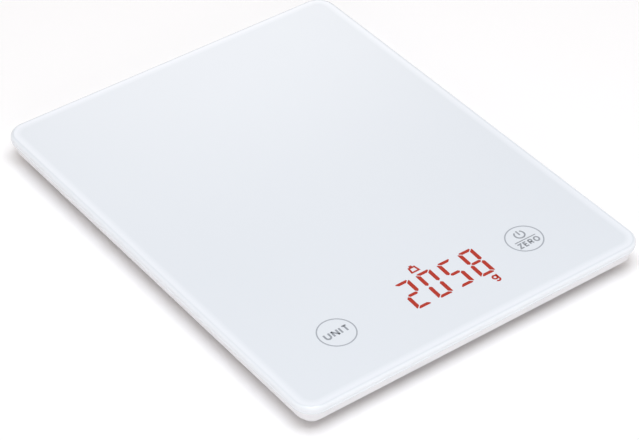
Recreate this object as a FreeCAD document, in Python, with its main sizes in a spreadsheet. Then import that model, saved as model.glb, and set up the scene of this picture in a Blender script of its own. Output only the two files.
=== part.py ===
import FreeCAD, Part
import math
import os
import Sketcher
from FreeCAD import Placement, Rotation, Vector

# Slim electronic kitchen scale: a glass platform on a shallow plastic body that stands on
# four weighing feet. Millimetres. X runs right along the front edge, Y to the back, Z up;
# the origin is on the table, under the middle of the platform.

SIZES = {
    # glass platform
    "plate_width": 170,
    "plate_length": 220,
    "glass_thick": 4,
    "corner_radius": 9,
    "edge_round": 1.5,
    # adhesive tape between the glass and the body
    "tape_thick": 0.5,
    "tape_width": 8,
    "tape_setback": 1,
    # carrier frame, the upper half of the body
    "body_inset": 2,
    "carrier_height": 3.6,
    "carrier_wall": 1.5,
    "web_thick": 1.2,
    # bottom cover, the lower half of the body
    "cover_lift": 2.5,
    "cover_floor": 1.5,
    "cover_taper": 3,
    "cover_wall": 3.2,
    "lip_height": 1,
    "lip_thick": 1,
    "lip_clearance": 0.15,
    "rib_height": 1.2,
    "rib_thick": 1.2,
    "rib_setback": -1,
    # load cells: a steel plate with a tongue cut out of it
    "cell_seat": 1.7,
    "cell_thick": 1,
    "cell_frame": 3.4,
    "cell_slot": 2.2,
    "cell_drop": 1.4,
    "cell_fit": 0.1,
    "cell_round": 1,
    "gauge_width": 3,
    "gauge_length": 4,
    "gauge_thick": 0.1,
    # brackets that hold the load cells up against the carrier
    "bracket_wall": 2,
    "bracket_ear": 7,
    "bracket_ledge": 1,
    "bracket_round": 1.5,
    "bracket_opening_round": 3,
    "bracket_screw_gap": 14,
    "bracket_gap_side": 1.3,
    "bracket_gap_end": 1.8,
    # feet
    "foot_radius": 7.8,
    "foot_hole_gap": 0.3,
    "flange_lip": 1.2,
    "flange_thick": 0.8,
    "flange_gap": 0.15,
    "flange_play": 0.3,
    "nub_radius": 2.5,
    "foot_travel": 0.4,
    "foot_gap": 0.1,
    "pad_thick": 1,
    "pad_plug_margin": 1.6,
    "pad_plug_depth": 0.9,
    "pad_round": 0.4,
    # screws
    "cover_screw_radius": 1.1,
    "cover_head_radius": 2.1,
    "cover_head_thick": 1,
    "cover_head_recess": 0.3,
    "cover_boss_radius": 2.9,
    "cover_boss_height": 1.2,
    "cover_screw_side": 9,
    "cover_screw_end": 7,
    "cover_screw_gap": 6,
    "cover_screw_x": 35,
    "small_screw_radius": 0.8,
    "small_head_radius": 1.6,
    "small_head_thick": 0.7,
    "screw_play": 0.1,
    "screw_bite": 0.05,
    # control board and display
    "film_thick": 0.2,
    "housing_height": 3.3,
    "housing_margin": 2.35,
    "housing_end_margin": 2.045,
    "housing_play": 0.4,
    "board_thick": 1,
    "board_length": 36,
    "board_round": 1,
    "board_gap": 0.5,
    "board_screw_side": 3,
    "board_screw_end": 3,
    "board_boss_radius": 2.2,
    "controller_size": 7,
    "controller_shift": 6,
    "converter_width": 3.9,
    "converter_length": 8.6,
    "converter_shift": -5,
    "chip_height": 1.1,
    "chip_round": 0.15,
    "crystal_width": 3.2,
    "crystal_length": 5,
    "crystal_height": 1,
    "crystal_round": 0.6,
    "crystal_shift": 4,
    "capacitor_length": 1.6,
    "capacitor_width": 0.8,
    "capacitor_pitch": 2.4,
    "capacitor_offset": 8.8,
    "gasket_width": 2,
    "segment_gap": 1.15,
    "segment_miter": 0.5,
    "segment_thick": 1.6,
    "segment_rise": 7.75,
    "segment_slant": 0.3,
    "segment_play": 0.05,
    "sign_rise": 12.555,
    "sign_size": 3.3,
    "sign_shift": 1,
    "digit_pitch": 10.7,
    "digit_half_width": 2.75,
    "digit_shift": -9.3,
    "led_width": 1.4,
    "led_length": 0.9,
    "led_height": 0.5,
    # touch keys
    "unit_key_margin": 5.1,
    "zero_key_margin": 4.1,
    "key_margin_front": 32.4,
    "spring_radius": 3,
    "spring_wire": 0.4,
    "spring_turns": 3,
    "spring_hole_radius": 4,
    # power cells and their bay
    "coin_radius": 10,
    "coin_can": 2.9,
    "coin_cap": 0.3,
    "coin_cap_radius": 8.8,
    "coin_round": 0.3,
    "coin_gap": 1.6,
    "bay_centre": 20,
    "bay_play": 0.5,
    "bay_wall": 1.2,
    "bay_ceiling": 0.6,
    "bay_roof_gap": 0.05,
    "bay_web_gap": 0.3,
    "coin_lift": 0.2,
    "contact_thick": 0.25,
    "contact_width": 6,
    "contact_disc_radius": 3.6,
    "contact_strip": 1.5,
    "contact_blade_gap": 0.8,
    "contact_slot_play": 0.1,
    "contact_tab": 3,
    # battery door
    "door_thick": 1.2,
    "door_overlap_side": 3.2,
    "door_overlap_end": 3.9,
    "door_gap": 0.25,
    "door_ledge": 1.2,
    "door_rim": 2,
    "tab_width": 5,
    "tab_spread": 30,
    "tab_reach": 2.3,
    "tab_root": 1.3,
    "tab_neck": 0.48,
    "tab_thick": 0.8,
    "tab_gap": 0.3,
    "latch_width": 9,
    "latch_slit": 0.8,
    "latch_length": 6,
    "latch_nose": 0.6,
    "scoop_width": 16,
    "scoop_length": 6,
    "scoop_depth": 0.9,
    # leads
    "lead_radius": 0.35,
    "lead_pitch": 0.9,
    "solder_height": 0.5,
    "solder_radius": 0.6,
    "lead_lane": 40,
    "lead_drop": 4,
    "lead_board_side": 3,
    "lead_board_end": 1.2,
    "lead_on_tab": 1.5,
    "lead_off_tab": 8,
    "lead_sway": 4,
    "lead_return": 2,
    "lead_run": 12,
    "lead_flare": 9,
}

doc = FreeCAD.newDocument("kitchen_scale")
sheet = doc.addObject("Spreadsheet::Sheet", "Sizes")


class Size:
    """A length that carries its expression text and its present value together."""

    def __init__(self, text, value):
        self.text = text
        self.value = value

    def __add__(self, other):
        other = as_size(other)
        return Size(f"({self.text} + {other.text})", self.value + other.value)

    def __sub__(self, other):
        other = as_size(other)
        return Size(f"({self.text} - {other.text})", self.value - other.value)

    def __mul__(self, other):
        other = as_size(other)
        return Size(f"({self.text} * {other.text})", self.value * other.value)

    def __truediv__(self, other):
        other = as_size(other)
        return Size(f"({self.text} / {other.text})", self.value / other.value)

    def __neg__(self):
        return self * -1

    def __radd__(self, other):
        return as_size(other) + self

    def __rsub__(self, other):
        return as_size(other) - self

    def __rmul__(self, other):
        return as_size(other) * self


def as_size(number):
    return number if isinstance(number, Size) else Size(repr(float(number)), float(number))


class Sheet:
    """The spreadsheet's values, one attribute for each alias."""

    def __init__(self, sizes):
        for row, (name, value) in enumerate(sizes.items(), 1):
            sheet.set(f"A{row}", name)
            sheet.set(f"B{row}", str(value))
            sheet.setAlias(f"B{row}", name)
            setattr(self, name, Size(f"Sizes.{name}", value))


size = Sheet(SIZES)
doc.recompute()


# ---------------------------------------------------------------- helpers

def bind(thing, prop, length):
    thing.setExpression(prop, as_size(length).text)


def new_body(label):
    body = doc.addObject("PartDesign::Body", label)
    body.Label = label
    return body


def place(thing, x=0, y=0, z=0, turn=0):
    """Puts a finished piece at x, y, z, turned about Z by a number of degrees."""
    thing.Placement = Placement(Vector(0, 0, 0), Rotation(Vector(0, 0, 1), turn))
    bind(thing, "Placement.Base.x", x)
    bind(thing, "Placement.Base.y", y)
    bind(thing, "Placement.Base.z", z)


def new_sketch(body, z, x=0, y=0):
    sketch = body.newObject("Sketcher::SketchObject", "Outline")
    plane = next(part for part in body.Origin.OriginFeatures if part.Role == "XY_Plane")
    sketch.AttachmentSupport = [(plane, "")]
    sketch.MapMode = "FlatFace"
    bind(sketch, "AttachmentOffset.Base.x", x)
    bind(sketch, "AttachmentOffset.Base.y", y)
    bind(sketch, "AttachmentOffset.Base.z", z)
    return sketch


def fix_length(sketch, constraint, length):
    number = sketch.addConstraint(constraint)
    sketch.setExpression(f"Constraints[{number}]", as_size(length).text)


def draw_rectangle(sketch, width, length, radius=None):
    """A rectangle about the sketch's origin, its corners rounded if a radius is given."""
    width, length = as_size(width), as_size(length)
    x, y = width.value / 2, length.value / 2
    r = as_size(radius).value if radius is not None else 0
    straights = [
        (Vector(-x + r, -y, 0), Vector(x - r, -y, 0)),
        (Vector(x, -y + r, 0), Vector(x, y - r, 0)),
        (Vector(x - r, y, 0), Vector(-x + r, y, 0)),
        (Vector(-x, y - r, 0), Vector(-x, -y + r, 0)),
    ]
    lines = [sketch.addGeometry(Part.LineSegment(start, end)) for start, end in straights]
    if radius is not None:
        corners = []
        for quarter, (cx, cy) in enumerate([(x - r, r - y), (x - r, y - r), (r - x, y - r), (r - x, r - y)]):
            circle = Part.Circle(Vector(cx, cy, 0), Vector(0, 0, 1), r)
            start = (quarter - 1) * math.pi / 2
            corners.append(sketch.addGeometry(Part.ArcOfCircle(circle, start, start + math.pi / 2)))
        for side in range(4):
            sketch.addConstraint(Sketcher.Constraint("Tangent", lines[side], 2, corners[side], 1))
            sketch.addConstraint(Sketcher.Constraint("Tangent", corners[side], 2, lines[(side + 1) % 4], 1))
        for corner in corners[1:]:
            sketch.addConstraint(Sketcher.Constraint("Equal", corners[0], corner))
        fix_length(sketch, Sketcher.Constraint("Radius", corners[0], r), radius)
    else:
        for side in range(4):
            after = lines[(side + 1) % 4]
            sketch.addConstraint(Sketcher.Constraint("Coincident", lines[side], 2, after, 1))
    for side, way in enumerate(("Horizontal", "Vertical", "Horizontal", "Vertical")):
        sketch.addConstraint(Sketcher.Constraint(way, lines[side]))
    sketch.addConstraint(Sketcher.Constraint("Symmetric", lines[0], 1, lines[2], 1, -1, 1))
    fix_length(sketch, Sketcher.Constraint("DistanceX", lines[3], 1, lines[1], 1, 2 * x), width)
    fix_length(sketch, Sketcher.Constraint("DistanceY", lines[0], 1, lines[2], 1, 2 * y), length)


def draw_circle(sketch, radius):
    value = as_size(radius).value
    circle = sketch.addGeometry(Part.Circle(Vector(0, 0, 0), Vector(0, 0, 1), value))
    sketch.addConstraint(Sketcher.Constraint("Coincident", circle, 3, -1, 1))
    fix_length(sketch, Sketcher.Constraint("Radius", circle, value), radius)


def extrude(body, kind, sketch, length):
    feature = body.newObject(f"PartDesign::{kind}", kind)
    feature.Profile = sketch
    bind(feature, "Length", length)
    return feature


def add_block(body, width, length, bottom, height, x=0, y=0, radius=None):
    sketch = new_sketch(body, bottom, x, y)
    draw_rectangle(sketch, width, length, radius)
    return extrude(body, "Pad", sketch, height)


def cut_block(body, width, length, top, depth, x=0, y=0, radius=None):
    """Cuts down from top by depth."""
    sketch = new_sketch(body, top, x, y)
    draw_rectangle(sketch, width, length, radius)
    return extrude(body, "Pocket", sketch, depth)


def add_post(body, radius, bottom, height, x=0, y=0):
    sketch = new_sketch(body, bottom, x, y)
    draw_circle(sketch, radius)
    return extrude(body, "Pad", sketch, height)


def cut_hole(body, radius, top, depth, x=0, y=0):
    sketch = new_sketch(body, top, x, y)
    draw_circle(sketch, radius)
    return extrude(body, "Pocket", sketch, depth)


def add_ring(body, width, length, radius, wall, bottom, height):
    """A frame of even width, wall, inside the outline width by length."""
    sketch = new_sketch(body, bottom)
    draw_rectangle(sketch, width, length, radius)
    draw_rectangle(sketch, width - 2 * wall, length - 2 * wall, inner_radius(radius, wall))
    return extrude(body, "Pad", sketch, height)


def inner_radius(radius, wall, least=0.5):
    """The corner radius left inside a wall, never under a small one."""
    radius, wall = as_size(radius), as_size(wall)
    text = f"max({radius.text} - {wall.text}; {least})"
    return Size(text, max(radius.value - wall.value, least))


def flat_faces(shape, down_only=False):
    """The names of the level faces, or of the lowest one alone."""
    level = []
    for number, face in enumerate(shape.Faces, 1):
        box = face.BoundBox
        if box.ZLength < 1e-6 and (not down_only or box.ZMin < shape.BoundBox.ZMin + 1e-6):
            level.append(f"Face{number}")
    return level


def round_edges(body, feature, faces, radius):
    fillet = body.newObject("PartDesign::Fillet", "Fillet")
    fillet.Base = (feature, faces)
    bind(fillet, "Radius", radius)
    return fillet


def cylinder(radius, height, x, y, z):
    part = doc.addObject("Part::Cylinder", "Cylinder")
    bind(part, "Radius", radius)
    bind(part, "Height", height)
    place(part, x, y, z)
    return part


def cone(base_radius, top_radius, height, x, y, z):
    part = doc.addObject("Part::Cone", "Cone")
    bind(part, "Radius1", base_radius)
    bind(part, "Radius2", top_radius)
    bind(part, "Height", height)
    place(part, x, y, z)
    return part


def box(width, length, height, x, y, z):
    """A box centred on x and y, standing on z."""
    width, length, height = as_size(width), as_size(length), as_size(height)
    part = doc.addObject("Part::Box", "Box")
    bind(part, "Length", width)
    bind(part, "Width", length)
    bind(part, "Height", height)
    place(part, x - width / 2, y - length / 2, z)
    return part


def fuse(parts, label="Fusion"):
    fusion = doc.addObject("Part::MultiFuse", "Fusion")
    fusion.Shapes = parts
    fusion.Label = label
    return fusion


def group(parts, label):
    """One node that holds several separate solids of the same kind."""
    compound = doc.addObject("Part::Compound", label)
    compound.Links = parts
    compound.Label = label
    return compound


def screw(shank_radius, head_radius, head_thick, length, x, y, head_bottom):
    """A pan-head screw that points up: head, shank and a short tapered point."""
    point = shank_radius
    head = cylinder(head_radius, head_thick, x, y, head_bottom)
    shank = cylinder(shank_radius, length - point, x, y, head_bottom + head_thick)
    tip = cone(shank_radius, shank_radius * 0.4, point, x, y, head_bottom + head_thick + length - point)
    body = fuse([head, shank, tip])
    slot = box(head_radius * 1.2, head_thick * 0.4, head_thick * 0.4, x, y, head_bottom)
    cross = box(head_thick * 0.4, head_radius * 1.2, head_thick * 0.4, x, y, head_bottom)
    drive = fuse([slot, cross])
    cut = doc.addObject("Part::Cut", "Screw")
    cut.Base = body
    cut.Tool = drive
    return cut


def round_wire(points, radius):
    """A round wire along straight runs that are joined by tangent arcs as large as the runs allow."""
    edges = []
    start = points[0]
    for number in range(1, len(points) - 1):
        corner = points[number]
        before = points[number - 1] - corner
        after = points[number + 1] - corner
        half_turn = (math.pi - before.getAngle(after)) / 2
        run = 0.45 * min(before.Length, after.Length)
        before.normalize()
        after.normalize()
        bend_start = corner + before * run
        bend_end = corner + after * run
        bend_radius = run / math.tan(half_turn)
        inward = (before + after).normalize()
        middle = corner + inward * (bend_radius / math.cos(half_turn) - bend_radius)
        edges.append(Part.LineSegment(start, bend_start).toShape())
        edges.append(Part.Arc(bend_start, middle, bend_end).toShape())
        start = bend_end
    edges.append(Part.LineSegment(start, points[-1]).toShape())
    path = Part.Wire(edges)
    ring = Part.Wire(Part.Circle(points[0], points[1] - points[0], radius).toShape())
    tube = path.makePipeShell([ring], True, False)
    expected = math.pi * radius ** 2 * path.Length
    if abs(tube.Volume - expected) > 0.01 * expected:
        raise RuntimeError("a wire came out with the wrong volume")
    return tube


# ---------------------------------------------------------------- places worked out from the sizes

door_top = size.cover_lift + size.door_thick
coin_bottom = door_top + size.coin_lift
coin_top = coin_bottom + size.coin_can + size.coin_cap
bay_roof = coin_top + size.contact_thick + size.bay_roof_gap
web_bottom = bay_roof + size.bay_ceiling + size.bay_web_gap
rim_top = web_bottom + size.web_thick
glass_bottom = rim_top + size.tape_thick
parting = rim_top - size.carrier_height
floor_top = size.cover_lift + size.cover_floor

body_width = size.plate_width - 2 * size.body_inset
body_length = size.plate_length - 2 * size.body_inset
body_radius = size.corner_radius - size.body_inset

flange_radius = size.foot_radius + size.flange_lip
bracket_opening = 2 * (flange_radius + size.flange_play)
cell_size = bracket_opening + 2 * size.cell_seat
cell_top = web_bottom - size.cell_drop
cell_bottom = cell_top - size.cell_thick
bracket_bottom = cell_bottom - size.bracket_ledge
bracket_width = cell_size + 2 * size.bracket_wall
bracket_length = bracket_width + size.bracket_ear
foot_x = body_width / 2 - size.cover_wall - size.bracket_gap_side - bracket_width / 2
foot_y = body_length / 2 - size.cover_wall - size.bracket_gap_end - bracket_width / 2
cup_top = cell_bottom - size.foot_travel - size.foot_gap
flange_bottom = floor_top + size.flange_gap

segment_long = size.segment_rise - size.segment_gap
segment_short = 2 * size.digit_half_width - size.segment_miter
housing_width = 4 * size.digit_pitch + 2 * size.housing_margin
housing_length = 2 * (size.sign_rise + size.sign_size / 2 + size.housing_end_margin)
board_top = glass_bottom - size.film_thick - size.housing_height
board_bottom = board_top - size.board_thick
board_width = 2 * (foot_x - bracket_width / 2 - size.board_gap)
key_y = size.key_margin_front - size.plate_length / 2
unit_key_x = size.unit_key_margin - board_width / 2
zero_key_x = board_width / 2 - size.zero_key_margin
board_back = key_y + size.board_length / 2
display_x = size.digit_shift + size.digit_pitch * 1.5
housing_left = display_x - housing_width / 2
housing_right = display_x + housing_width / 2

bay_width = 4 * size.coin_radius + size.coin_gap + 2 * size.bay_play
bay_length = 2 * size.coin_radius + 2 * size.bay_play
coin_x = size.coin_radius + size.coin_gap / 2
door_width = bay_width + 2 * size.door_overlap_side
door_length = bay_length + 2 * size.door_overlap_end
hinge_radius = size.door_thick / 2
hinge_y = size.bay_centre + door_length / 2 - hinge_radius
hinge_z = size.cover_lift + hinge_radius

lead_z = board_top + size.solder_height + size.lead_radius

CORNERS = {
    "front_left": (-1, -1),
    "front_right": (1, -1),
    "rear_left": (-1, 1),
    "rear_right": (1, 1),
}
cover_screw_y = foot_y - bracket_width / 2 - size.bracket_ear - size.cover_screw_gap
cover_screw_places = []
for side in (-1, 1):
    for end in (-1, 1):
        side_x = side * (body_width / 2 - size.cover_screw_side)
        cover_screw_places.append((side_x, end * cover_screw_y))
        end_y = end * (body_length / 2 - size.cover_screw_end)
        cover_screw_places.append((side * size.cover_screw_x, end_y))
board_screw_x = board_width / 2 - size.board_screw_side
board_screw_y = size.board_length / 2 - size.board_screw_end
board_screw_places = [
    (side * board_screw_x, key_y + end * board_screw_y) for side in (-1, 1) for end in (-1, 1)
]
bracket_screw_places = []
for side, end in CORNERS.values():
    ear_y = end * (foot_y - bracket_width / 2 - size.bracket_ear / 2)
    for way in (-1, 1):
        bracket_screw_places.append((side * foot_x + way * size.bracket_screw_gap / 2, ear_y))


# ---------------------------------------------------------------- platform and body

def make_glass_platform():
    body = new_body("glass_platform")
    plate = add_block(
        body, size.plate_width, size.plate_length, glass_bottom, size.glass_thick, radius=size.corner_radius
    )
    doc.recompute()
    round_edges(body, plate, flat_faces(plate.Shape), size.edge_round)


def make_adhesive_frame():
    body = new_body("adhesive_frame")
    add_ring(
        body,
        body_width - 2 * size.tape_setback,
        body_length - 2 * size.tape_setback,
        body_radius - size.tape_setback,
        size.tape_width,
        rim_top,
        size.tape_thick,
    )


def make_carrier_frame():
    body = new_body("carrier_frame")
    add_block(body, body_width, body_length, parting, size.carrier_height, radius=body_radius)
    cut_block(
        body,
        body_width - 2 * size.carrier_wall,
        body_length - 2 * size.carrier_wall,
        web_bottom,
        web_bottom - parting,
        radius=inner_radius(body_radius, size.carrier_wall),
    )
    for side, end in CORNERS.values():
        pad_y = end * (foot_y - size.bracket_ear / 2)
        add_block(body, bracket_width, bracket_length, cell_top, size.cell_drop, side * foot_x, pad_y)
        opening = cell_size - 2 * size.cell_frame
        cut_block(body, opening, opening, web_bottom, size.cell_drop, side * foot_x, end * foot_y)
        lane_length = bracket_width / 2 + size.bracket_ear
        lane_y = end * (foot_y - lane_length / 2)
        cut_block(
            body, 4 * size.lead_pitch, lane_length, web_bottom, size.cell_drop, side * foot_x, lane_y
        )
        flare_y = end * (foot_y - bracket_width / 2 - size.bracket_ear / 2)
        cut_block(
            body, size.lead_flare, size.bracket_ear, web_bottom, size.cell_drop, side * foot_x, flare_y
        )
    pilot = size.small_screw_radius - size.screw_bite
    for x, y in bracket_screw_places:
        cut_hole(body, pilot, web_bottom + size.web_thick / 2, size.cell_drop + size.web_thick / 2, x, y)
    boss_bottom = floor_top + size.cover_boss_height
    for x, y in cover_screw_places:
        add_post(body, size.cover_boss_radius, boss_bottom, web_bottom - boss_bottom, x, y)
        depth = web_bottom + size.web_thick / 2 - boss_bottom
        cut_hole(body, size.cover_screw_radius - size.screw_bite, web_bottom + size.web_thick / 2, depth, x, y)
    for x, y in board_screw_places:
        add_post(body, size.board_boss_radius, board_top, web_bottom - board_top, x, y)
        depth = web_bottom + size.web_thick / 2 - board_top
        cut_hole(body, pilot, web_bottom + size.web_thick / 2, depth, x, y)
    window_width = housing_width + 2 * size.housing_play
    window_length = housing_length + 2 * size.housing_play
    cut_block(body, window_width, window_length, rim_top, size.web_thick, display_x, key_y)
    for x in (unit_key_x, zero_key_x):
        cut_hole(body, size.spring_hole_radius, rim_top, size.web_thick, x, key_y)


def make_bottom_cover():
    body = new_body("bottom_cover")
    lower = new_sketch(body, size.cover_lift)
    draw_rectangle(
        lower,
        body_width - 2 * size.cover_taper,
        body_length - 2 * size.cover_taper,
        inner_radius(body_radius, size.cover_taper),
    )
    upper = new_sketch(body, parting)
    draw_rectangle(upper, body_width, body_length, body_radius)
    loft = body.newObject("PartDesign::AdditiveLoft", "Loft")
    loft.Profile = lower
    loft.Sections = [upper]
    loft.Ruled = True
    cut_block(
        body,
        body_width - 2 * size.cover_wall,
        body_length - 2 * size.cover_wall,
        parting,
        parting - floor_top,
        radius=inner_radius(body_radius, size.cover_wall),
    )
    lip_inset = size.carrier_wall + size.lip_clearance
    add_ring(
        body,
        body_width - 2 * lip_inset,
        body_length - 2 * lip_inset,
        inner_radius(body_radius, lip_inset),
        size.lip_thick,
        parting - size.rib_thick / 2,
        size.lip_height + size.rib_thick / 2,
    )
    add_floor_ribs(body)
    for x, y in cover_screw_places:
        add_post(body, size.cover_boss_radius, floor_top, size.cover_boss_height, x, y)
        boss_top = floor_top + size.cover_boss_height
        cut_hole(body, size.cover_screw_radius + size.screw_play, boss_top, boss_top - size.cover_lift, x, y)
        recess = size.cover_head_thick + size.cover_head_recess
        cut_hole(body, size.cover_head_radius + size.screw_play, size.cover_lift + recess, recess, x, y)
    for side, end in CORNERS.values():
        hole = size.foot_radius + size.foot_hole_gap
        cut_hole(body, hole, floor_top, size.cover_floor, side * foot_x, end * foot_y)
    add_battery_bay(body)


def add_floor_ribs(body):
    """Long ribs beside the bay and cross ribs between the feet stiffen the floor."""
    reach = 2 * size.rib_setback - 2 * board_back
    rib_x = bay_width / 2 + size.coin_radius
    for side in (-1, 1):
        add_block(body, size.rib_thick, reach, floor_top, size.rib_height, side * rib_x, 0)
    width = body_width - 2 * size.cover_wall
    for end in (-1, 1):
        add_block(body, width, size.rib_thick, floor_top, size.rib_height, 0, end * reach / 2)


def add_battery_bay(body):
    """The bay is a roofed box over the two coin cells, open below where the door closes it."""
    centre = size.bay_centre
    ledge_top = door_top + size.door_ledge
    rim = 2 * (size.door_gap + size.door_rim)
    add_block(body, door_width + rim, door_length + rim, floor_top, ledge_top - floor_top, 0, centre)
    outer_width = bay_width + 2 * size.bay_wall
    outer_length = bay_length + 2 * size.bay_wall
    roof_top = bay_roof + size.bay_ceiling
    add_block(body, outer_width, outer_length, floor_top, roof_top - floor_top, 0, centre)
    cut_block(body, bay_width, bay_length, bay_roof, bay_roof - size.cover_lift, 0, centre)
    play = 2 * size.door_gap
    cut_block(body, door_width + play, door_length + play, door_top, size.door_thick, 0, centre)
    # slots beside the hinge edge, where the door's two tabs reach in over the floor
    slot_front = centre + bay_length / 2 + size.bay_wall
    slot_back = hinge_y + size.tab_reach + size.tab_gap
    for side in (-1, 1):
        slot_width = size.tab_width + 2 * size.tab_gap
        slot_x = side * size.tab_spread / 2
        slot_y = (slot_front + slot_back) / 2
        cut_block(body, slot_width, slot_back - slot_front, ledge_top, ledge_top - floor_top, slot_x, slot_y)
        gate_back = centre + door_length / 2 + size.door_gap
        gate_y = (slot_front + gate_back) / 2
        cut_block(body, slot_width, gate_back - slot_front, floor_top, floor_top - door_top, slot_x, gate_y)
    # groove that the latch nose snaps into, and a scoop for the fingertip
    front_edge = centre - door_length / 2 - size.door_gap
    nose = size.latch_nose
    groove_width = size.latch_width + 2 * size.tab_gap
    groove_top = door_top - size.door_gap / 2
    cut_block(body, groove_width, 2 * nose, groove_top, nose + size.door_gap, 0, front_edge)
    scoop_y = front_edge - size.scoop_length / 2
    cut_block(
        body,
        size.scoop_width,
        size.scoop_length,
        size.cover_lift + size.scoop_depth / 2,
        size.scoop_depth / 2,
        0,
        scoop_y,
        radius=size.scoop_length / 3,
    )
    # slots in the front wall for the two contact tabs
    wall_y = centre - bay_length / 2 - size.bay_wall / 2
    for side in (-1, 1):
        slot_width = size.contact_width + 2 * size.tab_gap
        slot_depth = size.contact_thick + size.contact_slot_play
        cut_block(body, slot_width, 2 * size.bay_wall, bay_roof, slot_depth, side * coin_x, wall_y)


# ---------------------------------------------------------------- feet and load cells

def make_foot(corner, side, end):
    turn = 0 if end < 0 else 180
    cell = new_body(f"load_cell_{corner}")
    add_block(cell, cell_size, cell_size, cell_bottom, size.cell_thick, radius=size.cell_round)
    opening = cell_size - 2 * size.cell_frame
    slot_x = (opening - size.cell_slot) / 2
    for way in (-1, 1):
        cut_block(cell, size.cell_slot, opening, cell_top, size.cell_thick, way * slot_x, 0)
    cut_block(cell, opening, size.cell_slot, cell_top, size.cell_thick, 0, slot_x)
    place(cell, side * foot_x, end * foot_y, 0, turn)

    bracket = new_body(f"load_cell_bracket_{corner}")
    ear_shift = size.bracket_ear / 2
    height = cell_top - bracket_bottom
    add_block(
        bracket, bracket_width, bracket_length, bracket_bottom, height, 0, ear_shift, radius=size.bracket_round
    )
    recess = cell_size + 2 * size.cell_fit
    cut_block(bracket, recess, recess, cell_top, size.cell_thick)
    cut_block(
        bracket,
        bracket_opening,
        bracket_opening,
        cell_bottom,
        size.bracket_ledge,
        radius=size.bracket_opening_round,
    )
    ear_y = (bracket_width + size.bracket_ear) / 2
    for way in (-1, 1):
        x = way * size.bracket_screw_gap / 2
        cut_hole(bracket, size.small_screw_radius + size.screw_play, cell_top, height, x, ear_y)
        sink = size.small_head_thick + size.screw_play
        cut_hole(bracket, size.small_head_radius + size.screw_play, bracket_bottom + sink, sink, x, ear_y)
    place(bracket, side * foot_x, end * foot_y, 0, turn)

    cup = new_body(f"foot_cup_{corner}")
    add_post(cup, size.foot_radius, size.pad_thick, flange_bottom - size.pad_thick)
    add_post(cup, flange_radius, flange_bottom, size.flange_thick)
    flange_top = flange_bottom + size.flange_thick
    add_post(cup, size.nub_radius, flange_top, cup_top - flange_top)
    plug_top = size.pad_thick + size.pad_plug_depth
    plug_radius = size.foot_radius - size.pad_plug_margin
    cut_hole(cup, plug_radius, plug_top, size.pad_plug_depth)
    place(cup, side * foot_x, end * foot_y)

    pad = new_body(f"foot_pad_{corner}")
    sole = add_post(pad, size.foot_radius, 0, size.pad_thick)
    doc.recompute()
    round_edges(pad, sole, flat_faces(sole.Shape, down_only=True), size.pad_round)
    add_post(pad, plug_radius, size.pad_thick, size.pad_plug_depth)
    place(pad, side * foot_x, end * foot_y)


def make_strain_gauges():
    gauges = []
    for side, end in CORNERS.values():
        root = cell_size / 2 - size.cell_frame - size.gauge_length / 2
        y = end * (foot_y + root)
        gauges.append(box(size.gauge_width, size.gauge_length, size.gauge_thick, side * foot_x, y, cell_top))
    group(gauges, "strain_gauges")


# ---------------------------------------------------------------- screws

def make_screws():
    head_bottom = size.cover_lift + size.cover_head_recess
    length = web_bottom + size.web_thick / 4 - head_bottom - size.cover_head_thick
    bite = 2 * size.screw_bite
    screws = []
    for x, y in cover_screw_places:
        radius = size.cover_screw_radius - bite
        screws.append(
            screw(radius, size.cover_head_radius, size.cover_head_thick, length, x, y, head_bottom)
        )
    group(screws, "cover_screws")

    radius = size.small_screw_radius - bite
    head_bottom = bracket_bottom + size.screw_play
    length = web_bottom + size.web_thick / 4 - head_bottom - size.small_head_thick
    screws = []
    for x, y in bracket_screw_places:
        screws.append(
            screw(radius, size.small_head_radius, size.small_head_thick, length, x, y, head_bottom)
        )
    group(screws, "bracket_screws")

    head_bottom = board_bottom - size.small_head_thick
    length = web_bottom + size.web_thick / 4 - board_bottom
    screws = []
    for x, y in board_screw_places:
        screws.append(
            screw(radius, size.small_head_radius, size.small_head_thick, length, x, y, head_bottom)
        )
    group(screws, "board_screws")


# ---------------------------------------------------------------- control board and display

def make_control_board():
    body = new_body("control_board")
    length = size.board_length
    add_block(body, board_width, length, board_bottom, size.board_thick, 0, key_y, radius=size.board_round)
    for x, y in board_screw_places:
        cut_hole(body, size.small_screw_radius + size.screw_play, board_top, size.board_thick, x, y)

    chip_x = (unit_key_x + size.spring_radius + housing_left) / 2
    controller = new_body("controller_chip")
    side = size.controller_size
    chip_y = key_y + size.controller_shift
    chip = add_block(controller, side, side, board_top, size.chip_height, chip_x, chip_y)
    doc.recompute()
    round_edges(controller, chip, flat_faces(chip.Shape), size.chip_round)

    converter = new_body("converter_chip")
    chip = add_block(
        converter,
        size.converter_width,
        size.converter_length,
        board_top,
        size.chip_height,
        chip_x,
        key_y + size.converter_shift,
    )
    doc.recompute()
    round_edges(converter, chip, flat_faces(chip.Shape), size.chip_round)

    crystal_x = (housing_right + zero_key_x - size.spring_radius) / 2
    crystal = new_body("clock_crystal")
    add_block(
        crystal,
        size.crystal_width,
        size.crystal_length,
        board_top,
        size.crystal_height,
        crystal_x,
        key_y + size.crystal_shift,
        radius=size.crystal_round,
    )

    # five capacitors in a row in front of the crystal, and one behind it
    thick = size.capacitor_width
    places = [key_y - step * size.capacitor_pitch for step in range(5)] + [key_y + size.capacitor_offset]
    chips = [box(size.capacitor_length, thick, thick, crystal_x, y, board_top) for y in places]
    group(chips, "board_capacitors")


def bar(length, thick, x, y, z, height, upright, lean):
    """One display bar: a six-sided outline with pointed ends, leaning right as it rises."""
    half, flank = length / 2, thick / 2
    along = [(-half, 0), (flank - half, flank), (half - flank, flank), (half, 0), (half - flank, -flank),
             (flank - half, -flank)]
    points = []
    for u, v in along:
        dx, dy = (v, u) if upright else (u, v)
        points.append(Vector(x + dx + lean * dy, y + dy, z))
    return Part.Face(Part.makePolygon(points + points[:1])).extrude(Vector(0, 0, height))


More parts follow.
